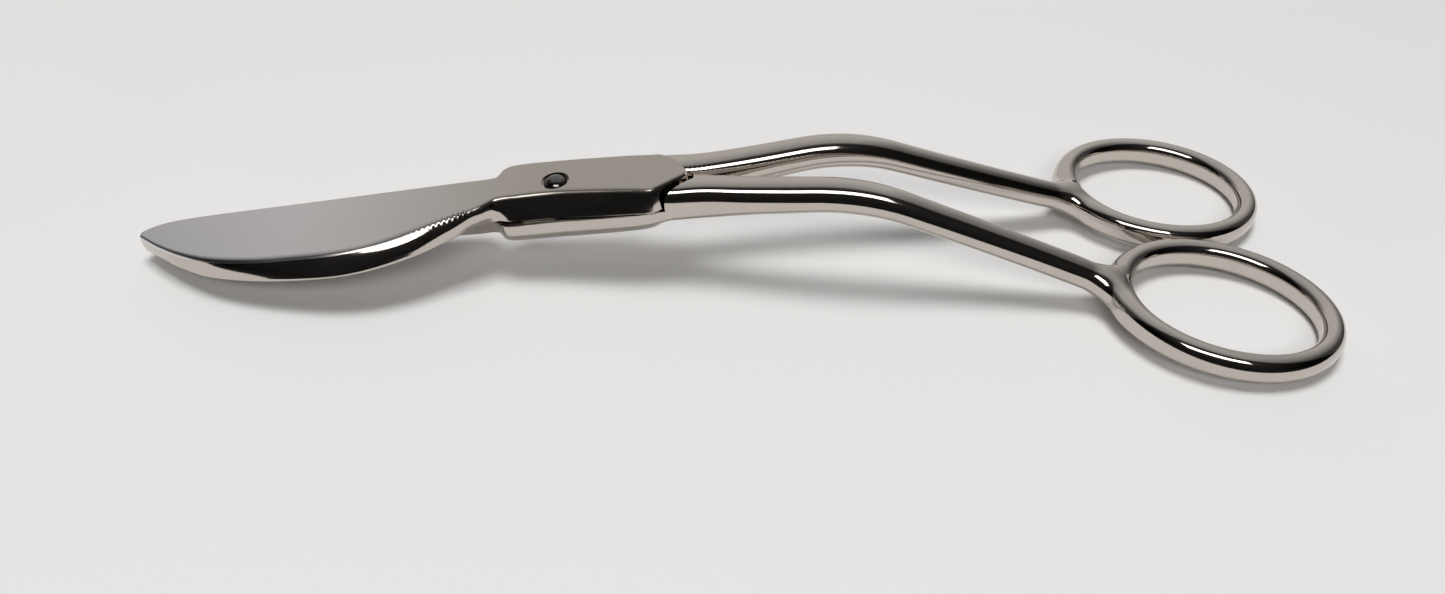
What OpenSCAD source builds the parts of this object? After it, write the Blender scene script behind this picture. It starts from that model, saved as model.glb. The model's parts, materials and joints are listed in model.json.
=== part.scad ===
// Duckbill trimming scissors with offset handles, standing closed on a table.
// A wide paddle blade rides over a narrow knife blade. Each half is one forging: blade, joint
// plate, cranked shank and finger ring. One rivet joins the halves.
// Axes: +X from the blade tips to the rings, +Y to the paddle half's ring, +Z up from the table.
// The origin is on the table, under the middle of the bounding box.

/* [Blades] */
// Distance from the rivet to the tip of the paddle
blade_len = 52.4; // [48:0.1:56]
// Slope of the joint's shear plane above the table, in degrees
blade_tilt = 8.5; // [7:0.1:10]
// Thickness of each joint plate
plate_t = 3.3; // [2.8:0.1:3.8]
// Thickness of the paddle at its tip
paddle_tip_t = 2.4; // [1.8:0.1:2.8]
// Thickness of the knife blade at its tip
knife_tip_t = 1.6; // [1.2:0.1:2]
// Distance that the knife blade's tip stays short of the paddle's tip
knife_short = 0.8; // [0.5:0.1:1.2]

/* [Joint] */
// Gap between the faces of the two halves
face_gap = 0.1; // [0.05:0.01:0.2]
// Diameter of the rivet's shaft
rivet_d = 2.6; // [2.2:0.1:3]
// Diameter of the rivet's domed head
head_d = 2.9; // [2.8:0.1:3.2]
// Height of the dome above the joint plate
head_h = 0.6; // [0.3:0.05:0.7]
// Radial clearance between the rivet and the paddle half
rivet_play = 0.05; // [0.02:0.01:0.1]
// Depth of the recess that the domed head sits in
recess_depth = 0.5; // [0.2:0.05:0.6]
// Gap between each plate's end and the step in the other half's shank
step_gap = 0.7; // [0.6:0.05:1.2]

/* [Shanks] */
// Distance from the rivet to the corner of the knee, along the blades
knee_at = 37.2; // [35:0.1:40]
// Angle that the shank turns down through at the knee
knee_bend = 27.4; // [25:0.1:29]
// Radius of the knee on the shank's centreline
knee_radius = 26; // [20:1:30]

/* [Rings] */
// Length of the finger hole
hole_len = 23.5; // [22:0.1:25]
// Width of the finger hole
hole_w = 18.7; // [18:0.1:21]
// Width of the band that goes round the hole
band_w = 2.8; // [2.4:0.1:3.2]
// Depth of the band, from its upper side to its lower side
band_d = 3.7; // [3:0.1:4]
// Angle at which each ring points outwards
ring_splay = 7; // [5:0.5:8]
// Slope of the rings down to the table, in degrees
ring_slope = 3.2; // [2:0.1:4]
// Gap between the two closed rings
ring_gap = 0.2; // [0.1:0.1:1]
// Distance from the rivet to the middle of the rings, along the table
ring_at = 82.9; // [82:0.1:84]

/* [Hidden] */

half_gap = face_gap / 2;
recess_play = 0.3;
steel = [0.72, 0.71, 0.69];
polished = [0.8, 0.79, 0.78];

// The ring's centreline is an ellipse in a plane that slopes down away from the joint.
ring_a = (hole_len + band_w) / 2;
ring_b = (hole_w + band_w) / 2;
ring_y = norm([ring_a * sin(ring_splay), ring_b * cos(ring_splay)]) + (band_w + ring_gap) / 2;
ring_z = ring_a * sin(ring_slope) + band_d / 2;
back_x = ring_at + ring_a * cos(ring_splay) * cos(ring_slope) + band_w / 2;

// The tip of the knife blade and the backs of the rings rest on the table.
rivet_z = (blade_len - knife_short) * sin(blade_tilt) + knife_tip_t * cos(blade_tilt);
tip_x = -blade_len * cos(blade_tilt) - paddle_tip_t * sin(blade_tilt);
rivet_x = -(tip_x + back_x) / 2;

/* Sections of the blades and joint plates, from the tip back, in the plane frame.
   Each line is [u, near edge of the outer face, far edge of the outer face,
   near edge of the shear face, far side at mid thickness, far edge of the shear face].
   u runs along the blades from the rivet, and the far side is the side of the half's own shank. */
paddle_sections = [
    [-blade_len, -0.5, 0.3, -0.6, 0.35, 0.35],
    [-blade_len + 0.3, -0.8, 0.65, -0.9, 0.7, 0.7],
    [-blade_len + 1.3, -1.65, 1.25, -1.7, 1.3, 1.3],
    [-49.4, -3, 1.8, -3.05, 1.85, 1.9],
    [-46.2, -5.05, 2.1, -5.4, 2.15, 2.2],
    [-42, -6.95, 2.15, -7.75, 2.25, 2.3],
    [-36.5, -8.25, 2.15, -9.4, 2.25, 2.3],
    [-31, -8.75, 2.1, -10.25, 2.2, 2.25],
    [-26, -8.95, 2.1, -10.5, 2.2, 2.25],
    [-21.5, -8.35, 2.1, -9.8, 2.2, 2.25],
    [-17, -6.7, 2.1, -8.1, 2.2, 2.25],
    [-13, -5.1, 2.1, -5.6, 2.2, 2.25],
    [-10.6, -4.35, 2.08, -3.6, 2.15, 2.2],
    [-9.2, -3.7, 2.06, -2.9, 2.15, 2.2],
    [-8.2, -2.95, 2.06, -2.75, 2.15, 2.2],
    [-7.4, -2.35, 2.4, -2.8, 2.5, 2.4],
    [-6.6, -2.2, 3.9, -3.05, 3.9, 3.8],
    [-4.8, -2.15, 4.5, -3.3, 4.55, 4.4],
    [0, -2.15, 4.4, -3.5, 4.7, 4.5],
    [5.2, -2.85, 4.05, -4.1, 5, 4.8],
    [9.2, -3.6, 3.7, -4.5, 5.1, 4.9],
    [10.3, -3.85, 3.55, -4.65, 4.95, 4.75],
    [11.5, -4.1, 3.4, -4.65, 4.75, 4.55],
    [12.1, -4, 3.3, -4.5, 4.5, 4.3],
    [13.3, -3.3, 3.1, -3.9, 3.6, 3.6],
    [15, -2.25, 1.7, -2.85, 2.2, 2.2],
    [15.9, -1.7, 0, -2.25, 0.6, 0.6],
    [16.4, -1.35, -1.2, -1.85, -1.45, -1.7]
];
knife_sections = [
    [-blade_len + knife_short, -0.6, 0, -0.6, 0.05, 0.1],
    [-blade_len + 1.8, -1.1, 0.3, -1.15, 0.5, 0.6],
    [-48, -1.8, 0.2, -1.9, 0.9, 1.5],
    [-42, -2.6, 0, -2.7, 1, 2.3],
    [-34, -3.3, 0, -3.4, 1.2, 3],
    [-25, -3.7, 0.2, -3.8, 1.4, 3.3],
    [-16, -4, 0.5, -4.1, 1.6, 3.1],
    [-11, -4, 0.6, -4.1, 1.2, 2],
    [-9.6, -3.7, 0.5, -3.8, 1.1, 1.8],
    [-8.9, -3.4, 0.5, -3.5, 1.1, 1.8],
    [-8.2, -2.9, 0.8, -3.1, 1.5, 2.2],
    [-7.5, -2.55, 1.9, -2.95, 3, 3.1],
    [-6.6, -2.3, 2.5, -2.8, 3.9, 3.8],
    [-4.8, -2.15, 2.7, -2.8, 4.1, 4.05],
    [0, -2.15, 2.9, -3.5, 4.2, 4.15],
    [5.2, -2.85, 3.2, -4.1, 4.6, 4.5],
    [9.2, -3.6, 3.3, -4.4, 4.8, 4.7],
    [10.3, -3.85, 3.25, -4.25, 4.8, 4.7],
    [11.5, -4.1, 3, -3.5, 4.75, 4.6],
    [12.1, -4, 2.7, -3.1, 4.65, 4.5],
    [13.3, -3.3, 2.1, -2.35, 4.5, 4.4],
    [15, -2.25, 1.6, -1.3, 4.3, 4.3],
    [15.9, -1.7, 1.2, -0.75, 4.1, 4.1],
    [16.4, -1.35, 1, -0.5, 3.9, 3.9]
];
// Sections of the shank: [u, sideways offset, rise over the shear plane, half width, half depth,
// squareness].
shank_sections = [
    [9.5, 2.1, 0.2, 1.8, 2.7, 3.5],
    [13, 2.3, 0.35, 2.2, 2.65, 2.9],
    [18, 2.4, 0.1, 2.15, 2.65, 2.5],
    [24, 3.3, 0.05, 2.1, 2.4, 2.2],
    [31, 4.4, 0, 2.05, 2.25, 2.1],
    [37, 5.15, 0, 2, 2.15, 2.1],
    [43, 5.85, 0, 1.9, 1.95, 2.1],
    [50, 6.6, 0, 1.85, 1.9, 2.1],
    [58, 7.6, 0, 1.8, 1.85, 2.1],
    [64, 8.5, 0, 1.8, 1.8, 2.1],
    [69, 9.6, 0, 1.6, 1.6, 2.1]
];

// Start and end of the knee's arc, and the height of its lower end.
knee_from = knee_at - knee_radius * tan(knee_bend / 2);
knee_to = knee_from + knee_radius * sin(knee_bend);
knee_drop = knee_radius * (1 - cos(knee_bend));

// Depth of the shank's centreline below the shear plane.
function drop_at(u) =
    u < knee_from ? 0
    : u < knee_to ? knee_radius - sqrt(knee_radius ^ 2 - (u - knee_from) ^ 2)
    : knee_drop + (u - knee_to) * tan(knee_bend);

// A smooth curve through a list of points, t counting the points from 0. It is a cubic Hermite
// curve whose slope at each point is that of the line between its neighbours.
function slope_at(p, i) =
    i <= 0 ? p[1] - p[0]
    : i >= len(p) - 1 ? p[i] - p[i - 1]
    : (p[i + 1] - p[i - 1]) / 2;
function curve(p, t) =
    let (i = min(floor(t), len(p) - 2), f = t - i)
    p[i] * (2 * f ^ 3 - 3 * f ^ 2 + 1) + slope_at(p, i) * (f ^ 3 - 2 * f ^ 2 + f)
    + p[i + 1] * (3 * f ^ 2 - 2 * f ^ 3) + slope_at(p, i + 1) * (f ^ 3 - f ^ 2);
function sampled(p, steps) = [for (k = [0 : steps * (len(p) - 1)]) curve(p, k / steps)];

// Two points that round a corner c between its neighbours a and b.
function rounded(a, c, b, r) = [c + r * (a - c) / norm(a - c), c + r * (b - c) / norm(b - c)];

// Height of the outer face over the shear plane, level over the joint and thinner to the tip.
joint_front = -8;
function face_height(u, tip_t) =
    u > joint_front ? plate_t
    : plate_t + (tip_t - plate_t) * (joint_front - u) / (joint_front + blade_len);

// One section of a blade or a joint plate, s being one line of the tables above. The near flank
// bulges by a share of its own width, and the long edges of the outer face are eased.
flank_bulge = 0.12;
mid_height = 0.45;
eased = 0.25;
function blade_section(s, tip_t) =
    let (
        top = face_height(s[0], tip_t),
        near_low = [s[3], half_gap],
        near_top = [s[1], top],
        far_top = [s[2], top],
        far_mid = [s[4], top * mid_height],
        far_low = [s[5], half_gap],
        flank = near_top - near_low,
        near_mid = near_low + flank / 2 + flank_bulge * [-flank[1], flank[0]],
        edge = min(eased, (s[2] - s[1]) / 3)
    )
    [for (p = concat([near_low, near_mid], rounded(near_mid, near_top, far_top, edge),
        rounded(near_top, far_top, far_mid, edge), [far_mid, far_low])) [s[0], p[0], p[1]]];

// A superellipse with half width a, half depth b and squareness n, at angle q.
function squared(x, n) = sign(x) * pow(abs(x), 2 / n);
function oval(a, b, n, q) = [a * squared(cos(q), n), b * squared(sin(q), n)];
side_points = 16;
function around() = [for (k = [0 : side_points - 1]) 360 * k / side_points];

function unit(p) = p / norm(p);
function shank_centre(s, fall) = [s[0], s[1], fall * (drop_at(s[0]) - s[2])];

// Sections of the shank, square to its centreline. fall is -1 or 1, towards the table.
function shank_rings(fall) =
    let (s = sampled(shank_sections, 3), last = len(s) - 1)
    [for (i = [last : -1 : 0])
        let (
            ahead = shank_centre(s[min(i + 1, last)], fall),
            behind = shank_centre(s[max(i - 1, 0)], fall),
            along = unit(ahead - behind),
            up = unit(cross(along, [0, 1, 0])),
            side = cross(up, along)
        )
        [for (q = around())
            let (p = oval(s[i][3], s[i][4], s[i][5], q))
            shank_centre(s[i], fall) + p[0] * side + p[1] * up]];

// A point given along the table from the rivet, moved into the frame of the shear plane.
function to_plane(p) = [
    p[0] * cos(blade_tilt) + (p[2] - rivet_z) * sin(blade_tilt),
    p[1],
    -p[0] * sin(blade_tilt) + (p[2] - rivet_z) * cos(blade_tilt)
];

// The ring's own axes on the table: along its length, across it, and square to its plane.
ring_along = [cos(ring_splay) * cos(ring_slope), sin(ring_splay) * cos(ring_slope), -sin(ring_slope)];
ring_across = [-sin(ring_splay), cos(ring_splay), 0];
ring_up = cross(ring_along, ring_across);
ring_steps = 44;

// One section of the ring at angle t. The band thickens where the shank meets it, at 180 degrees.
root_extra = 0.35;
function ring_section(t) =
    let (
        centre = [ring_at, ring_y, ring_z] + ring_a * cos(t) * ring_along + ring_b * sin(t) * ring_across,
        out = unit(ring_b * cos(t) * ring_along + ring_a * sin(t) * ring_across),
        root = pow(max(0, -cos(t)), 8)
    )
    [for (q = around())
        let (p = oval(band_w / 2 + root_extra * root, band_d / 2, 2.3, q))
        centre + p[0] * out + p[1] * ring_up];

// A solid through a list of sections, closed at its ends or joined into a loop.
module skin(sections, loop = false) {
    rows = len(sections);
    n = len(sections[0]);
    last = loop ? rows - 1 : rows - 2;
    sides = [for (i = [0 : last], j = [0 : n - 1])
        let (
            a = i * n + j,
            b = i * n + (j + 1) % n,
            c = ((i + 1) % rows) * n + (j + 1) % n,
            d = ((i + 1) % rows) * n + j
        )
        each [[a, b, c], [a, c, d]]];
    caps = loop ? [] : [
        [for (j = [n - 1 : -1 : 0]) j],
        [for (j = [0 : n - 1]) (rows - 1) * n + j]
    ];
    polyhedron([for (s = sections) each s], concat(sides, caps));
}

// The web between the shank and the two arms of the ring.
module root_web(fall) {
    web_r = 1.6;
    hull() {
        for (t = [158, 202]) {
            p = to_plane((ring_section(t)[0] + ring_section(t)[side_points / 2]) / 2);
            translate(fall < 0 ? p : [p[0], p[1], -p[2]]) sphere(r = web_r, $fn = 24);
        }
        s = curve(shank_sections, len(shank_sections) - 2);
        translate(shank_centre(s, fall)) sphere(r = web_r, $fn = 24);
    }
}

// The space that the other half's plate takes up across the shear plane. Its edge is the diagonal
// step where this half's shank reaches its full depth.
module plate_room() {
    room = 12;
    inner = [16.4 + step_gap, 1.35 + step_gap];
    outer = [11.6 + step_gap, 4.4 + step_gap];
    beyond = 2 * outer - inner;
    translate([0, 0, half_gap - room])
        linear_extrude(room)
            polygon([[inner[0], -room], inner, beyond, [-room, beyond[1]], [-room, -room]]);
}

// One half in the frame of the shear plane, lying over it, with its shank to the far side.
module half(sections, tip_t, fall) {
    difference() {
        union() {
            skin([for (s = sampled(sections, 2)) blade_section(s, tip_t)]);
            skin(shank_rings(fall));
            skin([for (k = [0 : ring_steps - 1])
                [for (p = ring_section(-fall * 360 * k / ring_steps))
                    let (w = to_plane(p)) [w[0], w[1], -fall * w[2]]]], loop = true);
            root_web(fall);
        }
        plate_room();
    }
}

module on_table() {
    translate([rivet_x, 0, rivet_z]) rotate([0, -blade_tilt, 0]) children();
}

module paddle_half() {
    color(steel) on_table() difference() {
        half(paddle_sections, paddle_tip_t, -1);
        translate([0, 0, -plate_t]) cylinder(h = 3 * plate_t, d = rivet_d + 2 * rivet_play, $fn = 64);
        translate([0, 0, plate_t - recess_depth]) cylinder(h = plate_t, d = head_d + 2 * recess_play, $fn = 64);
    }
}

module knife_half() {
    color(steel) on_table() rotate([180, 0, 0]) difference() {
        half(knife_sections, knife_tip_t, 1);
        translate([0, 0, -plate_t]) cylinder(h = 3 * plate_t, d = rivet_d, $fn = 64);
    }
}

// A low dome of height h over a disc of diameter d and the given rim height, standing on z = 0.
module dome(d, rim, h) {
    rise = h - rim;
    ball_r = (rise ^ 2 + (d / 2) ^ 2) / (2 * rise);
    intersection() {
        cylinder(h = h, d = d, $fn = 64);
        translate([0, 0, h - ball_r]) sphere(r = ball_r, $fn = 96);
    }
}

module pivot_rivet() {
    head_from = plate_t - recess_depth + half_gap;
    rim = 0.15;
    color(polished) on_table() {
        translate([0, 0, -plate_t]) cylinder(h = plate_t + head_from, d = rivet_d, $fn = 64);
        translate([0, 0, head_from]) dome(head_d, rim, plate_t + head_h - head_from);
        translate([0, 0, -plate_t]) mirror([0, 0, 1]) dome(head_d, rim / 2, head_h / 2);
    }
}

paddle_half();
knife_half();
pivot_rivet();
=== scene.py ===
# Duckbill trimming scissors with offset handles, standing closed on a pale table.
# Each half is one forging: a blade, a joint plate, a cranked shank and a finger ring.
# Shapes are worked out in millimetres in the frame of the shear plane, where the blades slide on
# each other: u runs along the blades from the rivet, v across them, and w out of the plane.
import json
import math
import bmesh
import bpy
import numpy as np
from mathutils import Matrix, Vector


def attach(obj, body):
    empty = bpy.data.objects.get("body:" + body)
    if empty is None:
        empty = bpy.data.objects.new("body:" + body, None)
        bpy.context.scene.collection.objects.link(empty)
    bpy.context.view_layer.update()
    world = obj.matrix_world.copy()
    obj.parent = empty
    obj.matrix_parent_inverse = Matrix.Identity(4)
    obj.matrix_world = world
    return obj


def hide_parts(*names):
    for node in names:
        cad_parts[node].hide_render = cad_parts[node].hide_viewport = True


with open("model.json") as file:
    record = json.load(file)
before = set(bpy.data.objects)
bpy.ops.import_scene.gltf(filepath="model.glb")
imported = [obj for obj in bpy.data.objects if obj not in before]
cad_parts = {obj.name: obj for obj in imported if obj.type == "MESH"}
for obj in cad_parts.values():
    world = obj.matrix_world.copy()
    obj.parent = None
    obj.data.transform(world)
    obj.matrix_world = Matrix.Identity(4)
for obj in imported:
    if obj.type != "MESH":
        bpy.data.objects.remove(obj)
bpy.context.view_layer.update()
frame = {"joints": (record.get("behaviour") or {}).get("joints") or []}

# ---------------------------------------------------------------------------------------------
# The camera, over the near side of the closed scissors, level with their length.
# It looks down at the joint and the shanks together, a little rolled, through a wide lens.
MM = 0.001
hinge = frame["joints"][0]
hinge_at = np.array(hinge["pos_m"])
camera_azimuth = math.radians(4.89)
camera_elevation = math.radians(37.33)
camera_roll = math.radians(3.27)
camera_distance = 145.75 * MM
camera_target = Vector(hinge_at + np.array([20.65, 1.44, -4.21]) * MM)

flat_right = Vector((math.cos(camera_azimuth), -math.sin(camera_azimuth), 0))
looking = Vector((
    math.cos(camera_elevation) * math.sin(camera_azimuth),
    math.cos(camera_elevation) * math.cos(camera_azimuth),
    -math.sin(camera_elevation),
))
flat_up = flat_right.cross(looking)
camera_right = math.cos(camera_roll) * flat_right + math.sin(camera_roll) * flat_up
camera_up = camera_right.cross(looking)
camera = bpy.data.objects.new("camera", bpy.data.cameras.new("camera"))
camera.data.lens = 28.0
camera.data.sensor_width = 36.0
camera.data.shift_y = -0.0516
camera.data.clip_start = 5 * MM
camera.matrix_world = Matrix.Translation(camera_target - camera_distance * looking) @ Matrix(
    (camera_right, camera_up, -looking)
).transposed().to_4x4()
bpy.context.scene.collection.objects.link(camera)
bpy.context.scene.camera = camera

# ---------------------------------------------------------------------------------------------
# The table and the light: a plain pale floor, a pale wall of light behind, a dark room in front
# with one long soft lamp high up, which draws the bright line along each rounded edge.
scene = bpy.context.scene
scene.view_settings.view_transform = "Standard"


def wired(tree, kind, **values):
    """A node of that kind, with its named properties and input sockets set or linked."""
    node = tree.nodes.new(kind)
    for name, value in values.items():
        if hasattr(node, name) and name not in node.inputs:
            setattr(node, name, value)
            continue
        socket = node.inputs[int(name[1:])] if name[0] == "i" and name[1:].isdigit() else node.inputs[name]
        if isinstance(value, bpy.types.NodeSocket):
            tree.links.new(value, socket)
        else:
            socket.default_value = value
    return node


def grey(value, warmth=0.0):
    """An opaque grey, turned a little to red (warmth over 0) or to blue (under 0)."""
    return (value * (1 + warmth), value, value * (1 - warmth), 1)


floor_half = 1.6
floor = bpy.data.objects.new("table_top", bpy.data.meshes.new("table_top"))
floor.data.from_pydata(
    [(-floor_half, -floor_half, 0), (floor_half, -floor_half, 0), (floor_half, floor_half, 0),
     (-floor_half, floor_half, 0)], [], [(0, 1, 2, 3)])
floor_paint = bpy.data.materials.new("pale_floor")
floor_paint.use_nodes = True
floor_shader = floor_paint.node_tree.nodes["Principled BSDF"]
floor_shader.inputs["Base Color"].default_value = grey(0.8, 0.004)
floor_shader.inputs["Roughness"].default_value = 0.9
floor_shader.inputs["Specular IOR Level"].default_value = 0.1
floor.data.materials.append(floor_paint)
scene.collection.objects.link(floor)

# The sky over the table, by the angle up from the back: 0 at the back, 180 degrees at the front.
sky_stops = [
    (0, grey(0.58, 0.02)), (40, grey(0.62, 0.01)), (70, grey(0.5, 0.0)), (96, grey(0.36, -0.01)),
    (106, grey(0.09, -0.04)), (114, grey(0.025, 0.0)), (180, grey(0.014, 0.0)),
]
world = bpy.data.worlds.new("studio")
world.use_nodes = True
scene.world = world
sky = world.node_tree
sky.nodes.clear()
toward = wired(sky, "ShaderNodeSeparateXYZ", Vector=wired(sky, "ShaderNodeTexCoord").outputs["Generated"])
height = wired(sky, "ShaderNodeMath", operation="ABSOLUTE", i0=toward.outputs["Z"])
angle = wired(sky, "ShaderNodeMath", operation="ARCTAN2", i0=height.outputs[0], i1=toward.outputs["Y"])
share = wired(sky, "ShaderNodeMath", operation="DIVIDE", i0=angle.outputs[0], i1=math.pi)
ramp = wired(sky, "ShaderNodeValToRGB", Fac=share.outputs[0])
while len(ramp.color_ramp.elements) < len(sky_stops):
    ramp.color_ramp.elements.new(0.5)
for element, (degrees, colour) in zip(ramp.color_ramp.elements, sky_stops):
    element.position = degrees / 180
    element.color = colour
plain = wired(sky, "ShaderNodeBackground", Color=grey(0.62), Strength=1.0)
sideways = wired(sky, "ShaderNodeMath", operation="ABSOLUTE", i0=toward.outputs["X"])
dimmed = wired(sky, "ShaderNodeMapRange", Value=sideways.outputs[0], i1=0.45, i2=0.85, i3=1.0, i4=0.12)
ray = wired(sky, "ShaderNodeLightPath")
fill = wired(sky, "ShaderNodeMapRange", Value=ray.outputs["Is Diffuse Ray"], i3=1.0, i4=0.6)
strength = wired(sky, "ShaderNodeMath", operation="MULTIPLY", i0=dimmed.outputs[0], i1=fill.outputs[0])
lit = wired(sky, "ShaderNodeBackground", Color=ramp.outputs["Color"], Strength=strength.outputs[0])
seen = wired(sky, "ShaderNodeMixShader", Fac=ray.outputs["Is Camera Ray"],
             i1=lit.outputs[0], i2=plain.outputs[0])
wired(sky, "ShaderNodeOutputWorld", Surface=seen.outputs[0])


def soft_lamp(name, centre, size, power, shade):
    """A rectangular lamp at a point in metres, facing the scissors, unseen by the camera."""
    light = bpy.data.lights.new(name, "AREA")
    light.shape = "RECTANGLE"
    light.size, light.size_y = size
    light.energy = power
    light.color = shade
    lamp = bpy.data.objects.new(name, light)
    lamp.location = centre
    lamp.rotation_euler = (-Vector(centre)).to_track_quat("-Z", "Y").to_euler()
    lamp.visible_camera = False
    scene.collection.objects.link(lamp)
    return lamp


soft_lamp("front_lamp", (0.0, -0.66, 0.64), (0.74, 0.26), 2.8, (1.0, 0.99, 0.97))
top_lamp = soft_lamp("top_lamp", (-0.05, 0.06, 1.02), (0.42, 0.34), 6.6, (1.0, 0.99, 0.98))
top_lamp.visible_glossy = False

# A black flag lies in front of the scissors. Only their polish sees it: it draws the dark band
# along each near side, between the pale table's reflection and the lamp's.
flag_edge = -0.031
flag_height = 0.0006
flag = bpy.data.objects.new("black_flag", bpy.data.meshes.new("black_flag"))
flag.data.from_pydata(
    [(-floor_half, -floor_half, flag_height), (floor_half, -floor_half, flag_height),
     (floor_half, flag_edge, flag_height), (-floor_half, flag_edge, flag_height)], [], [(0, 1, 2, 3)])
flag_cloth = bpy.data.materials.new("black_cloth")
flag_cloth.use_nodes = True
flag_cloth.node_tree.nodes["Principled BSDF"].inputs["Base Color"].default_value = grey(0.012)
flag_cloth.node_tree.nodes["Principled BSDF"].inputs["Specular IOR Level"].default_value = 0.0
flag.data.materials.append(flag_cloth)
flag.visible_camera = False
flag.visible_diffuse = False
flag.visible_shadow = False
flag.visible_transmission = False
scene.collection.objects.link(flag)

# ---------------------------------------------------------------------------------------------
# The paddle half: one forging of polished, nickel plated steel. Its wide paddle and joint plate
# are ground flat and satin on the outer face, and its shank runs back to the far finger ring.
half_gap = 0.05
plate_t = 3.3
joint_front = -8.0
blade_len = 52.4
paddle_tip_t = 2.4
# Each line: u, near edge of the outer face, far edge of the outer face, near edge of the shear
# face, far side at mid height, far edge of the shear face.
paddle_sections = [
    (-blade_len, -0.5, 0.3, -0.6, 0.35, 0.35),
    (-52.1, -0.8, 0.65, -0.9, 0.7, 0.7),
    (-51.1, -1.65, 1.25, -1.7, 1.3, 1.3),
    (-49.4, -3, 1.8, -3.05, 1.85, 1.9),
    (-46.2, -5.05, 2.1, -5.4, 2.15, 2.2),
    (-42, -6.95, 2.15, -7.75, 2.25, 2.3),
    (-36.5, -8.25, 2.15, -9.4, 2.25, 2.3),
    (-31, -8.75, 2.1, -10.25, 2.2, 2.25),
    (-26, -8.95, 2.1, -10.5, 2.2, 2.25),
    (-21.5, -8.35, 2.1, -9.8, 2.2, 2.25),
    (-17, -6.7, 2.1, -8.1, 2.2, 2.25),
    (-13, -5.1, 2.1, -5.6, 2.2, 2.25),
    (-10.6, -4.35, 2.08, -3.6, 2.15, 2.2),
    (-9.2, -3.7, 2.06, -2.9, 2.15, 2.2),
    (-8.2, -2.95, 2.06, -2.75, 2.15, 2.2),
    (-7.4, -2.35, 2.4, -2.8, 2.5, 2.4),
    (-6.6, -2.2, 3.9, -3.05, 3.9, 3.8),
    (-4.8, -2.15, 4.5, -3.3, 4.55, 4.4),
    (0, -2.15, 4.4, -3.5, 4.7, 4.5),
    (5.2, -2.85, 4.05, -4.1, 5, 4.8),
    (9.2, -3.6, 3.7, -4.5, 5.1, 4.9),
    (10.3, -3.85, 3.55, -4.65, 4.95, 4.75),
    (11.5, -4.1, 3.4, -4.65, 4.75, 4.55),
    (12.1, -4, 3.3, -4.5, 4.5, 4.3),
    (13.3, -3.3, 3.1, -3.9, 3.6, 3.6),
    (15, -2.25, 1.7, -2.85, 2.2, 2.2),
    (15.9, -1.7, 0, -2.25, 0.6, 0.6),
    (16.4, -1.35, -1.2, -1.85, -1.45, -1.7),
]
# Each line: u, sideways offset, rise over the shear plane, half width, half depth, squareness.
shank_sections = [
    (9.5, 2.1, 0.2, 1.8, 2.7, 3.5),
    (13, 2.3, 0.35, 2.2, 2.65, 2.9),
    (18, 2.4, 0.1, 2.15, 2.65, 2.5),
    (24, 3.3, 0.05, 2.1, 2.4, 2.2),
    (31, 4.4, 0, 2.05, 2.25, 2.1),
    (37, 5.15, 0, 2, 2.15, 2.1),
    (43, 5.85, 0, 1.9, 1.95, 2.1),
    (50, 6.6, 0, 1.85, 1.9, 2.1),
    (58, 7.6, 0, 1.8, 1.85, 2.1),
    (64, 8.5, 0, 1.8, 1.8, 2.1),
    (69, 9.6, 0, 1.6, 1.6, 2.1),
]
w_axis = np.array(hinge["axis"])
v_axis = np.array([0.0, 1.0, 0.0])
u_axis = np.cross(v_axis, w_axis)


def on_table(points):
    """Points (u, v, w) in millimetres, laid into the model's frame in metres."""
    return hinge_at + MM * (points @ np.array([u_axis, v_axis, w_axis]))


def in_plane(points):
    """Points in millimetres from the table's origin, turned into (u, v, w)."""
    return (points - hinge_at / MM) @ np.array([u_axis, v_axis, w_axis]).T


def sampled(rows, steps):
    """A cubic Hermite curve through the rows of a table, whose slope at each row is that of the
    line between its neighbours, with that many steps from row to row."""
    rows = np.array(rows, float)
    slopes = np.gradient(rows, axis=0)
    t = np.linspace(0, len(rows) - 1, steps * (len(rows) - 1) + 1)
    i = np.minimum(t.astype(int), len(rows) - 2)
    f = (t - i)[:, None]
    return (rows[i] * (2 * f**3 - 3 * f**2 + 1) + slopes[i] * (f**3 - 2 * f**2 + f)
            + rows[i + 1] * (3 * f**2 - 2 * f**3) + slopes[i + 1] * (f**3 - f**2))


def smooth_step(x):
    """0 below 0, 1 above 1, and 3x^2 - 2x^3 between."""
    x = np.clip(x, 0, 1)
    return x * x * (3 - 2 * x)


def eased_outline(corners, cuts, arc_steps=7):
    """Closed outlines through corners (rows, corners, 2). Each corner is cut back along both its
    edges by its cut and crossed by a quadratic curve. The straight part of each edge gets four
    more points, two of them close to its ends, which keep the face beside an edge flat.
    Returns (rows, points, 2) and, for each point, the number of the corner it follows."""
    before = np.roll(corners, 1, axis=1) - corners
    after = np.roll(corners, -1, axis=1) - corners
    before_len = np.linalg.norm(before, axis=2)
    after_len = np.linalg.norm(after, axis=2)
    cut = np.minimum(cuts, 0.49 * np.minimum(before_len, after_len))
    start = corners + before * (cut / before_len)[..., None]
    end = corners + after * (cut / after_len)[..., None]
    t = np.linspace(0, 1, arc_steps)[None, None, :, None]
    arcs = (1 - t)**2 * start[:, :, None] + 2 * t * (1 - t) * corners[:, :, None] + t**2 * end[:, :, None]
    next_start = np.roll(start, -1, axis=1)
    near = np.minimum(0.08 / np.linalg.norm(next_start - end, axis=2), 0.3)
    shares = np.stack([near, 0.35 + 0 * near, 0.65 + 0 * near, 1 - near], axis=2)[..., None]
    edges = end[:, :, None] * (1 - shares) + next_start[:, :, None] * shares
    points = np.concatenate([arcs, edges], axis=2)
    follows = np.repeat(np.arange(corners.shape[1]), arc_steps + 4)
    return points.reshape(len(corners), -1, 2), follows


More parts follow.
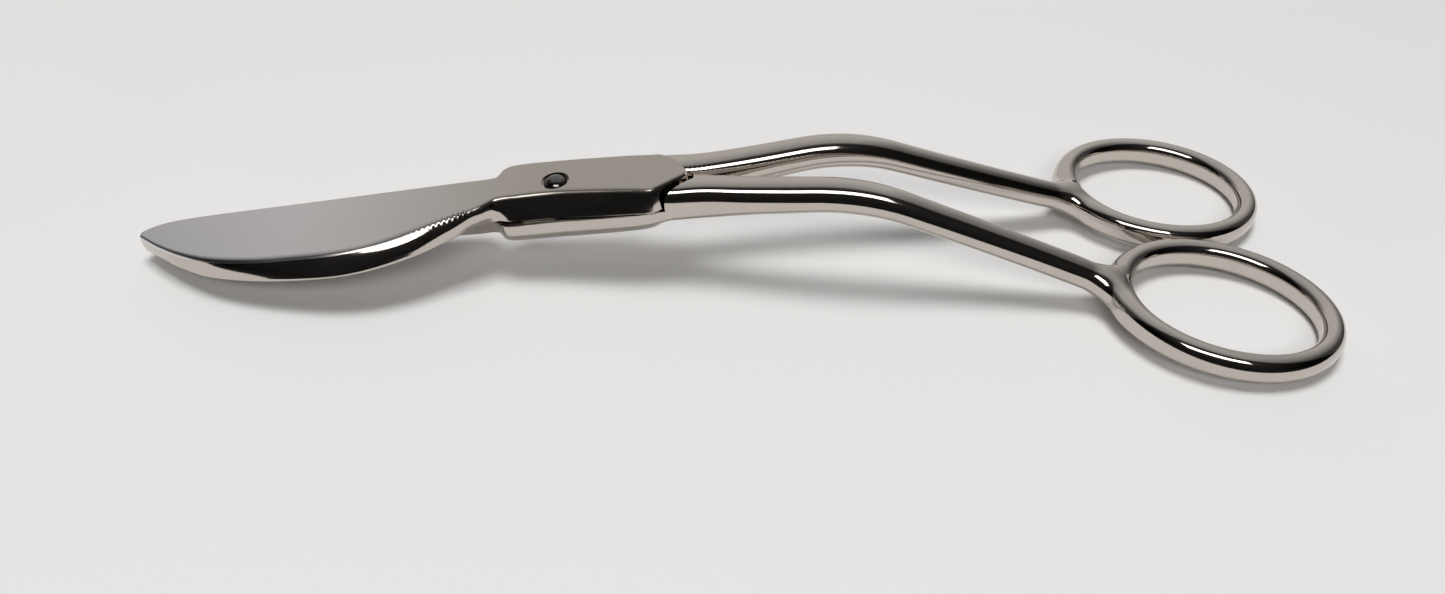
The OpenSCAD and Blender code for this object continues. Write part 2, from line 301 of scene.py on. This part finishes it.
def fore_shell(sections, tip_t, rim, ripple=0.0):
    """Blade and joint plate as a loft: at each u the outline goes from the shear face up the near
    flank, over the eased rim, across the flat outer face and down the far side. The rim's width
    ripples along u just ahead of the joint, where it was ground by hand."""
    s = sampled(sections, 24)
    u = s[:, 0]
    top = np.where(u > joint_front, plate_t,
                   plate_t + (tip_t - plate_t) * (joint_front - u) / (joint_front + blade_len))
    low = np.full_like(u, half_gap)
    near_low = np.stack([s[:, 3], low], 1)
    near_top = np.stack([s[:, 1], top], 1)
    flank = near_top - near_low
    # The flank swells towards the neck, most of all ahead of the joint, and is all but flat there.
    bulge = 0.06 + 0.08 * smooth_step((u + 26) / 8) - 0.12 * smooth_step((u + 8) / 2)
    bulge = bulge + 0.1 * smooth_step((u + 15) / 3) * smooth_step((-7.5 - u) / 1.5)
    near_mid = near_low + flank / 2 + bulge[:, None] * np.stack([-flank[:, 1], flank[:, 0]], 1)
    corners = np.stack([near_low, near_mid, near_top, np.stack([s[:, 2], top], 1),
                        np.stack([s[:, 4], 0.45 * top], 1), np.stack([s[:, 5], low], 1)], axis=1)
    window = smooth_step((u + 17.5) / 2) * smooth_step((-9.5 - u) / 1.5)
    rim_cut = rim * (1 + ripple * window * np.sin(2 * np.pi * u / 0.62))
    wide = np.full_like(u, 9.0)
    tight = np.full_like(u, 0.06)
    heel_cut = 0.1 + 0.35 * smooth_step((-9 - u) / 4)
    cuts = np.stack([heel_cut, wide, rim_cut, np.full_like(u, 0.16), wide, tight], axis=1)
    outline, follows = eased_outline(corners, cuts)
    grid = np.concatenate([np.broadcast_to(u[:, None, None], outline.shape[:2] + (1,)), outline], axis=2)
    return grid, follows


def oval(half_width, half_depth, squareness, angle):
    """A superellipse: |x / half_width|^n + |y / half_depth|^n = 1 with n the squareness."""
    c, s = np.cos(angle), np.sin(angle)
    return (half_width * np.sign(c) * np.abs(c)**(2 / squareness),
            half_depth * np.sign(s) * np.abs(s)**(2 / squareness))


def unit(vectors):
    """Each vector over its own length."""
    return vectors / np.linalg.norm(vectors, axis=-1, keepdims=True)


knee_at = 37.2
knee_bend = math.radians(27.4)
knee_radius = 26.0
around = np.linspace(0, 2 * np.pi, 64, endpoint=False)


def shank_path():
    """The shank's centreline, its section axes and its section sizes. It runs level, turns down
    through the knee's arc, and goes on straight at the knee's angle."""
    s = sampled(shank_sections, 30)
    u = s[:, 0]
    knee_from = knee_at - knee_radius * math.tan(knee_bend / 2)
    knee_to = knee_from + knee_radius * math.sin(knee_bend)
    knee_drop = knee_radius * (1 - math.cos(knee_bend))
    in_arc = np.sqrt(np.maximum(knee_radius**2 - (u - knee_from)**2, 0))
    drop = np.where(u < knee_from, 0, np.where(
        u < knee_to, knee_radius - in_arc, knee_drop + (u - knee_to) * math.tan(knee_bend)))
    centre = np.stack([u, s[:, 1], s[:, 2] - drop], 1)
    along = unit(np.gradient(centre, axis=0))
    up = unit(np.cross(along, v_axis))
    side = np.cross(up, along)
    return {"centre": centre, "along": along, "side": side, "up": up,
            "size": s[:, 3:6], "loop": False}


hole_len, hole_w = 23.5, 18.7
band_w, band_d = 2.8, 3.7
ring_splay = math.radians(7)
ring_slope = math.radians(3.2)
ring_gap = 0.2
ring_at = 82.9
root_extra = 0.35


def ring_path():
    """The ring's centreline, an ellipse in a plane that slopes down away from the joint, with its
    section axes out of the ring and square to its plane. The band thickens at the shank."""
    a, b = (hole_len + band_w) / 2, (hole_w + band_w) / 2
    along = np.array([math.cos(ring_splay) * math.cos(ring_slope),
                      math.sin(ring_splay) * math.cos(ring_slope), -math.sin(ring_slope)])
    across = np.array([-math.sin(ring_splay), math.cos(ring_splay), 0])
    up = np.cross(along, across)
    t = np.linspace(0, 2 * np.pi, 280, endpoint=False)[:, None]
    out_of_centre = math.hypot(a * math.sin(ring_splay), b * math.cos(ring_splay))
    middle = np.array([hinge_at[0] / MM + ring_at, out_of_centre + (band_w + ring_gap) / 2,
                       a * math.sin(ring_slope) + band_d / 2])
    turn = np.array([u_axis, v_axis, w_axis]).T
    root = np.maximum(0, -np.cos(t))**8
    size = np.concatenate([band_w / 2 + root_extra * root, 0 * t + band_d / 2, 0 * t + 2.3], axis=1)
    out = unit(b * np.cos(t) * along + a * np.sin(t) * across)
    return {"centre": in_plane(middle + a * np.cos(t) * along + b * np.sin(t) * across),
            "along": unit(-a * np.sin(t) * along + b * np.cos(t) * across) @ turn,
            "side": out @ turn, "up": np.broadcast_to(up @ turn, out.shape), "size": size, "loop": True}


def tube_grid(path):
    """The surface of a tube: an oval section carried along a path, (stations, points, 3)."""
    size = path["size"][:, None]
    x, y = oval(size[..., 0], size[..., 1], size[..., 2], around)
    sideways = x[..., None] * path["side"][:, None]
    upward = y[..., None] * path["up"][:, None]
    return path["centre"][:, None] + sideways + upward


def tube_distance(points, path):
    """Distance from points to a tube's surface, measured out from its centreline, and how far each
    point lies to the tube's own side. The distance is that to the centreline times (1 - 1/g), with
    g the superellipse's own radius function, and is under 0 inside. The section is taken between
    the nearest station and the one beside it. An open tube fades out over its last stretch, where
    its distance grows with the square of the way along."""
    centre, along = path["centre"], path["along"]
    count = len(centre)
    nearest = np.argmin((centre**2).sum(1) - 2 * points @ centre.T, axis=1)
    ahead = np.einsum("ij,ij->i", points - centre[nearest], along[nearest])
    beside = nearest + np.sign(ahead).astype(int)
    beside = beside % count if path["loop"] else np.clip(beside, 0, count - 1)
    spacing = np.linalg.norm(centre[beside] - centre[nearest], axis=1) + 1e-9
    share = np.clip(np.abs(ahead) / spacing, 0, 1)[:, None]
    middle, side, up, size = (path[key][nearest] * (1 - share) + path[key][beside] * share
                              for key in ("centre", "side", "up", "size"))
    x = np.einsum("ij,ij->i", points - middle, side)
    y = np.einsum("ij,ij->i", points - middle, up)
    a, b, n = size.T
    g = (np.abs(x / a)**n + np.abs(y / b)**n)**(1 / n) + 1e-9
    distance = np.hypot(x, y) * (1 - 1 / g)
    if not path["loop"]:
        past = (points - centre[-1]) @ along[-1]
        distance = distance + 0.11 * np.maximum(past + 4, 0)**2
    return distance, x


def blended(points, shank, ring, fillet):
    """The smooth minimum of the distances to two tubes: it falls under the lesser of the two by
    up to a quarter of the fillet where they are alike, so its zero level rounds the corner. The
    side of the ring towards the finger hole keeps its own shape."""
    d, _ = tube_distance(points, shank)
    e, outward = tube_distance(points, ring)
    near = np.maximum(fillet - np.abs(d - e), 0) / fillet
    return np.minimum(d, e) - near**2 * fillet / 4 * smooth_step((outward + 1.3) / 1.3)


def web_shell(shank, ring, fillet):
    """The web where a shank meets its ring, as points and four-sided faces: the zero level of the
    two tubes' blend. Away from the corner it sinks a little, so that it leaves the tubes' own
    surfaces without an edge. Each cell of a grid that the level crosses gives one point, which is
    evened out among its neighbours and drawn on to the level by Newton steps."""
    cell, reach = 0.25, 9.8
    heart = shank["centre"][-1] - 1.8 * shank["along"][-1]

    def level(points):
        """The blend, sunk from 5.5 mm out by up to 0.1 mm, and closed off at the web's reach."""
        away = np.linalg.norm(points - heart, axis=1)
        sunk = 0.1 * smooth_step((away - 5.5) / 4) - 0.006
        parts = np.array_split(points, len(points) // 20000 + 1)
        web = np.concatenate([blended(part, shank, ring, fillet) for part in parts])
        return np.maximum(web + sunk, away - reach)

    steps = np.arange(-reach - 2 * cell, reach + 2 * cell, cell)
    grid = heart + np.stack(np.meshgrid(steps, steps, steps, indexing="ij"), axis=-1)
    inside = (level(grid.reshape(-1, 3)).reshape(grid.shape[:3]) < 0).astype(int)
    whole = len(steps) - 1
    filled = sum(inside[a:a + whole, b:b + whole, c:c + whole]
                 for a in (0, 1) for b in (0, 1) for c in (0, 1))
    crossed = (filled > 0) & (filled < 8)
    number = np.full(crossed.shape, -1)
    number[crossed] = np.arange(crossed.sum())
    points = grid[:-1, :-1, :-1][crossed] + cell / 2
    faces = []
    for axis in range(3):
        step_b, step_c = np.eye(3, dtype=int)[[(axis + 1) % 3, (axis + 2) % 3]]
        change = np.diff(inside, axis=axis)
        at = np.argwhere(change != 0)
        quads = np.stack([number[tuple((at - back).T)]
                          for back in (0 * step_b, step_b, step_b + step_c, step_c)], axis=1)
        leaves = change[tuple(at.T)] < 0
        faces.append(np.where(leaves[:, None], quads, quads[:, ::-1]))
    faces = np.concatenate(faces)
    probe = 0.02 * np.eye(3)
    for round_number in range(14):
        if round_number < 10:
            total = np.zeros_like(points)
            tally = np.zeros((len(points), 1))
            for turn in (1, 3):
                np.add.at(total, faces.ravel(), points[np.roll(faces, turn, axis=1).ravel()])
                np.add.at(tally, faces.ravel(), 1)
            points = (points + total / tally) / 2
        slope = np.stack([level(points + d) - level(points - d) for d in probe], axis=1) / (2 * 0.02)
        points = points - slope * (level(points) / np.maximum((slope**2).sum(1), 0.25))[:, None]
    return points, faces


def closed_mesh(name, grid, loop=False, material=None):
    """A mesh in metres of a grid (rows, points, 3) whose rows are closed outlines, closed at both
    ends by flat caps or joined end to end into a loop, with its faces turned outwards."""
    rows, n = grid.shape[:2]
    index = np.arange(rows * n).reshape(rows, n)
    if loop:
        index = np.concatenate([index, index[:1]])
    right = np.roll(index, -1, axis=1)
    quads = np.stack([index[:-1], right[:-1], right[1:], index[1:]], axis=-1).reshape(-1, 4)
    points = grid.reshape(-1, 3)
    corner = points[quads]
    volume = (np.einsum("ij,ij->i", corner[:, 0], np.cross(corner[:, 1], corner[:, 2]))
              + np.einsum("ij,ij->i", corner[:, 0], np.cross(corner[:, 2], corner[:, 3]))).sum()
    faces = quads.tolist()
    if not loop:
        faces += [index[0, ::-1].tolist(), index[-1].tolist()]
    if volume < 0:
        faces = [face[::-1] for face in faces]
    mesh = bpy.data.meshes.new(name)
    mesh.from_pydata(on_table(points), [], faces)
    if material is not None:
        of_faces = np.append(np.tile(material, rows - 1), [0, 0])
        mesh.polygons.foreach_set("material_index", of_faces.astype(np.int32))
    return mesh


def cut_away(mesh, *cutters):
    """The mesh less some closed cutter meshes, by exact booleans."""
    body = bpy.data.objects.new("cut_body", mesh)
    scene.collection.objects.link(body)
    tools = []
    for cutter in cutters:
        tool = bpy.data.objects.new("cutter", cutter)
        scene.collection.objects.link(tool)
        tools.append(tool)
        step = body.modifiers.new("cut", "BOOLEAN")
        step.operation = "DIFFERENCE"
        step.solver = "EXACT"
        step.object = tool
    bpy.context.view_layer.update()
    result = bpy.data.meshes.new_from_object(body.evaluated_get(bpy.context.evaluated_depsgraph_get()))
    for thing in [body] + tools:
        bpy.data.objects.remove(thing)
    return result


def prism(outline, low, high):
    """A closed cutter: a convex outline (u, v) carried from one w to another."""
    outline = np.array(outline, float)
    return np.stack([np.column_stack([outline, np.full(len(outline), w)]) for w in (low, high)])


def disc_outline(radius, sides=96):
    """Points of a circle about the rivet's axis."""
    t = np.linspace(0, 2 * np.pi, sides, endpoint=False)
    return np.stack([radius * np.cos(t), radius * np.sin(t)], axis=1)


step_gap = 0.7
room = 12.0
step_inner = np.array([16.4 + step_gap, 1.35 + step_gap])
step_outer = np.array([11.6 + step_gap, 4.4 + step_gap])
step_beyond = 2 * step_outer - step_inner
# The space that the other half's plate takes up across the shear plane. Its diagonal edge is the
# step where this half's shank reaches its full depth.
plate_room = prism([(step_inner[0], -room), step_inner, step_beyond, (-room, step_beyond[1]),
                    (-room, -room)], half_gap - room, half_gap)
# The corner that the flat outer face follows in an outline, and the angle over which edges are sharp.
FLAT_CORNER = 2
sharp_over = math.radians(38)


def web_mesh(name, points, faces):
    """A mesh in metres of a web's points and four-sided faces, already facing outwards."""
    mesh = bpy.data.meshes.new(name)
    mesh.from_pydata(on_table(points), [], faces.tolist())
    return mesh


def forged_half(name, fore, shank, ring, web, cutter, materials, body, node):
    """One half as a single object of closed shells that run into each other, riding its body."""
    mesh = bpy.data.meshes.new(name)
    joined = bmesh.new()
    joined.from_mesh(fore)
    joined.from_mesh(cut_away(shank, cutter))
    joined.from_mesh(ring)
    joined.from_mesh(web)
    bmesh.ops.remove_doubles(joined, verts=joined.verts, dist=1e-8)
    joined.to_mesh(mesh)
    joined.free()
    for material in materials:
        mesh.materials.append(material)
    mesh.polygons.foreach_set("use_smooth", np.ones(len(mesh.polygons), bool))
    mesh.set_sharp_from_angle(angle=sharp_over)
    piece = bpy.data.objects.new(name, mesh)
    scene.collection.objects.link(piece)
    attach(piece, body)
    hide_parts(node)
    return piece


def polished_nickel(name, tint, rough):
    """Mirror polished nickel: faint broad waves in tone and gloss, and hairline scratches."""
    material = bpy.data.materials.new(name)
    material.use_nodes = True
    tree = material.node_tree
    shader = tree.nodes["Principled BSDF"]
    place = wired(tree, "ShaderNodeTexCoord").outputs["Object"]
    cloud = wired(tree, "ShaderNodeTexNoise", Vector=place, Scale=170.0, Detail=3.0).outputs["Fac"]
    tone = wired(tree, "ShaderNodeMix", data_type="RGBA", i0=cloud, i6=tint, i7=tuple(
        0.9 * c for c in tint[:3]) + (1,))
    grain = wired(tree, "ShaderNodeMapping", Vector=place, Scale=(120.0, 2600.0, 2600.0))
    hair = wired(tree, "ShaderNodeTexNoise", Vector=grain.outputs[0], Scale=1.0, Detail=4.0).outputs["Fac"]
    gloss = wired(tree, "ShaderNodeMapRange", Value=cloud, i3=rough, i4=rough * 2.2)
    bump = wired(tree, "ShaderNodeBump", Height=hair, Strength=0.05, Distance=0.00002)
    shader.inputs["Metallic"].default_value = 1.0
    tree.links.new(tone.outputs[2], shader.inputs["Base Color"])
    tree.links.new(gloss.outputs[0], shader.inputs["Roughness"])
    tree.links.new(bump.outputs[0], shader.inputs["Normal"])
    return material


def satin_nickel(name, tint, tip_reflection_tint, rough):
    """Flat ground nickel: fine lines along the blade, softer gloss, and a painted reflection: a slow
    change of tone from the lighter, cooler tip to the darker, warmer joint, standing in for the
    brighter sky that the flat face mirrors near the tip."""
    material = bpy.data.materials.new(name)
    material.use_nodes = True
    tree = material.node_tree
    shader = tree.nodes["Principled BSDF"]
    place = wired(tree, "ShaderNodeTexCoord").outputs["Object"]
    cloud = wired(tree, "ShaderNodeTexNoise", Vector=place, Scale=60.0, Detail=2.0).outputs["Fac"]
    along = wired(tree, "ShaderNodeSeparateXYZ", Vector=place).outputs["X"]
    # Painted reflection: the tone runs from the lighter, cooler tip tint to the darker, warmer joint tint
    # along the blade.
    back = wired(tree, "ShaderNodeMapRange", Value=along, interpolation_type="SMOOTHSTEP",
                 i1=-0.062, i2=-0.022).outputs[0]
    base = wired(tree, "ShaderNodeMix", data_type="RGBA", i0=back, i6=tip_reflection_tint, i7=tint)
    tone = wired(tree, "ShaderNodeMix", data_type="RGBA", blend_type="MULTIPLY", i0=cloud,
                 i6=base.outputs[2], i7=(0.93, 0.925, 0.92, 1))
    grain = wired(tree, "ShaderNodeMapping", Vector=place, Scale=(60.0, 2400.0, 60.0))
    lines = wired(tree, "ShaderNodeTexNoise", Vector=grain.outputs[0], Scale=1.0, Detail=3.0).outputs["Fac"]
    gloss = wired(tree, "ShaderNodeMapRange", Value=lines, i3=rough * 0.85, i4=rough * 1.25)
    bump = wired(tree, "ShaderNodeBump", Height=lines, Strength=0.03, Distance=0.00001)
    shader.inputs["Metallic"].default_value = 1.0
    tree.links.new(tone.outputs[2], shader.inputs["Base Color"])
    tree.links.new(gloss.outputs[0], shader.inputs["Roughness"])
    tree.links.new(bump.outputs[0], shader.inputs["Normal"])
    return material


nickel = polished_nickel("polished_nickel", (0.62, 0.57, 0.52, 1), 0.05)
# The second tint, lighter and cooler, is a painted reflection at the blades' tips, where the flat face
# mirrors a brighter sky.
ground_nickel = satin_nickel("ground_nickel", (0.51, 0.465, 0.42, 1), (0.75, 0.735, 0.74, 1), 0.24)

far_shank = shank_path()
far_ring = ring_path()
fillet = 3.2
# The shank's own tube narrows at its end, inside the web.
shank_middle = far_shank["centre"][:, None]
from_end = np.linalg.norm(shank_middle - shank_middle[-1], axis=2)[..., None]
narrowed = 1 - 0.45 * smooth_step((3.2 - from_end) / 2)
shank_grid = shank_middle + (tube_grid(far_shank) - shank_middle) * narrowed
ring_grid = tube_grid(far_ring)
web_points, web_faces = web_shell(far_shank, far_ring, fillet)

# The start of the far shank was dressed on a grinding wheel, which left slanting facets on top.
facet_pitch, facet_depth = 0.62, 0.05
u, v, w = np.moveaxis(shank_grid, -1, 0)
dressed = smooth_step((u - 16) / 0.6) * smooth_step((20 - u) / 1.5) * smooth_step((w - 1.2) / 0.8)
dressed = dressed * smooth_step((2.6 - v) / 1.2)
wheel = 0.5 + 0.5 * np.sin(2 * np.pi * (u + 0.9 * v) / facet_pitch)
far_shank_grid = shank_grid - (facet_depth * dressed * wheel)[..., None] * np.array([0, 0, 1.0])

paddle_grid, corner_of = fore_shell(paddle_sections, paddle_tip_t, 0.5, ripple=0.5)
recess_d, recess_depth = 3.5, 0.5
recess = closed_mesh("recess", prism(disc_outline(recess_d / 2), plate_t - recess_depth, plate_t + 1))
bore_r = 1.35
bore = closed_mesh("bore", prism(disc_outline(bore_r), -1, plate_t + 1))
paddle_blank = closed_mesh("paddle_fore", paddle_grid, material=(corner_of == FLAT_CORNER))
paddle_fore = cut_away(paddle_blank, recess, bore)
far_room = closed_mesh("far_room", plate_room)
forged_half("paddle_half_steel", paddle_fore, closed_mesh("far_shank", far_shank_grid),
            closed_mesh("far_ring", ring_grid, loop=True),
            web_mesh("far_web", web_points, web_faces), far_room,
            [nickel, ground_nickel], "paddle", "paddle_half")

# ---------------------------------------------------------------------------------------------
# The knife half: the same forging turned over, with a narrow knife blade under the paddle. Its
# joint plate lies under the paddle half's, and its shank runs back to the near finger ring.
knife_short = 0.8
knife_tip_t = 1.6
knife_sections = [
    (-blade_len + knife_short, -0.6, 0, -0.6, 0.05, 0.1),
    (-50.6, -1.1, 0.3, -1.15, 0.5, 0.6),
    (-48, -1.8, 0.2, -1.9, 0.9, 1.5),
    (-42, -2.6, 0, -2.7, 1, 2.3),
    (-34, -3.3, 0, -3.4, 1.2, 3),
    (-25, -3.7, 0.2, -3.8, 1.4, 3.3),
    (-16, -4, 0.5, -4.1, 1.6, 3.1),
    (-11, -4, 0.6, -4.1, 1.2, 2),
    (-9.6, -3.7, 0.5, -3.8, 1.1, 1.8),
    (-8.9, -3.4, 0.5, -3.5, 1.1, 1.8),
    (-8.2, -2.9, 0.8, -3.1, 1.5, 2.2),
    (-7.5, -2.55, 1.9, -2.95, 3, 3.1),
    (-6.6, -2.3, 2.5, -2.8, 3.9, 3.8),
    (-4.8, -2.15, 2.7, -2.8, 4.1, 4.05),
    (0, -2.15, 2.9, -3.5, 4.2, 4.15),
    (5.2, -2.85, 3.2, -4.1, 4.6, 4.5),
    (9.2, -3.6, 3.3, -4.4, 4.8, 4.7),
    (10.3, -3.85, 3.25, -4.25, 4.8, 4.7),
    (11.5, -4.1, 3, -3.5, 4.75, 4.6),
    (12.1, -4, 2.7, -3.1, 4.65, 4.5),
    (13.3, -3.3, 2.1, -2.35, 4.5, 4.4),
    (15, -2.25, 1.6, -1.3, 4.3, 4.3),
    (15.9, -1.7, 1.2, -0.75, 4.1, 4.1),
    (16.4, -1.35, 1, -0.5, 3.9, 3.9),
]
turned_over = np.array([1.0, -1.0, -1.0])
mirrored = np.array([1.0, -1.0, 1.0])
knife_grid, corner_of = fore_shell(knife_sections, knife_tip_t, 0.25)
knife_fore = closed_mesh("knife_fore", knife_grid * turned_over, material=(corner_of == FLAT_CORNER))
near_room = closed_mesh("near_room", plate_room * turned_over)
forged_half("knife_half_steel", knife_fore, closed_mesh("near_shank", shank_grid * mirrored),
            closed_mesh("near_ring", ring_grid * mirrored, loop=True),
            web_mesh("near_web", web_points * mirrored, web_faces[:, ::-1]), near_room,
            [nickel, ground_nickel], "knife", "knife_half")

# ---------------------------------------------------------------------------------------------
# The rivet: one polished steel pin through both joint plates, pressed into the knife half, with
# a domed head in a shallow recess of the paddle half's plate and a low head underneath.
rivet_r = 1.3
head_r = 1.45
head_h = 0.6
head_from = plate_t - recess_depth + half_gap
head_rise = plate_t + head_h - head_from
head_ball = (head_r**2 + head_rise**2) / (2 * head_rise)
foot_h = 0.22
t = np.linspace(0, 1, 28)
dome_angle = (1 - t) * math.asin(head_r / head_ball)
dome = np.stack([head_ball * np.sin(dome_angle), plate_t + head_h - head_ball * (1 - np.cos(dome_angle))], 1)
foot_angle = t * np.pi / 2
foot = np.stack([head_r * np.sin(foot_angle), -plate_t - foot_h * np.cos(foot_angle)], 1)
lathe_line = np.concatenate([
    foot, [(head_r, -plate_t + 0.02), (rivet_r, -plate_t + 0.03), (rivet_r, head_from - 0.02)], dome])
turns = np.linspace(0, 2 * np.pi, 96, endpoint=False)
lathe_line[0, 0] = lathe_line[-1, 0] = 0.01
rivet_grid = np.stack([lathe_line[:, :1] * np.cos(turns), lathe_line[:, :1] * np.sin(turns),
                       np.broadcast_to(lathe_line[:, 1:], (len(lathe_line), len(turns)))], axis=-1)
rivet_mesh = closed_mesh("rivet_pin", rivet_grid)
# The rivet's tint is much darker than the plates' nickel: painted shade, which stands in for the dark room
# that its dome mirrors.
rivet_mesh.materials.append(polished_nickel("polished_rivet_painted_dark", (0.17, 0.165, 0.16, 1), 0.06))
rivet_mesh.polygons.foreach_set("use_smooth", np.ones(len(rivet_mesh.polygons), bool))
rivet_mesh.set_sharp_from_angle(angle=sharp_over)
rivet = bpy.data.objects.new("rivet_pin", rivet_mesh)
scene.collection.objects.link(rivet)
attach(rivet, "knife")
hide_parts("pivot_rivet")
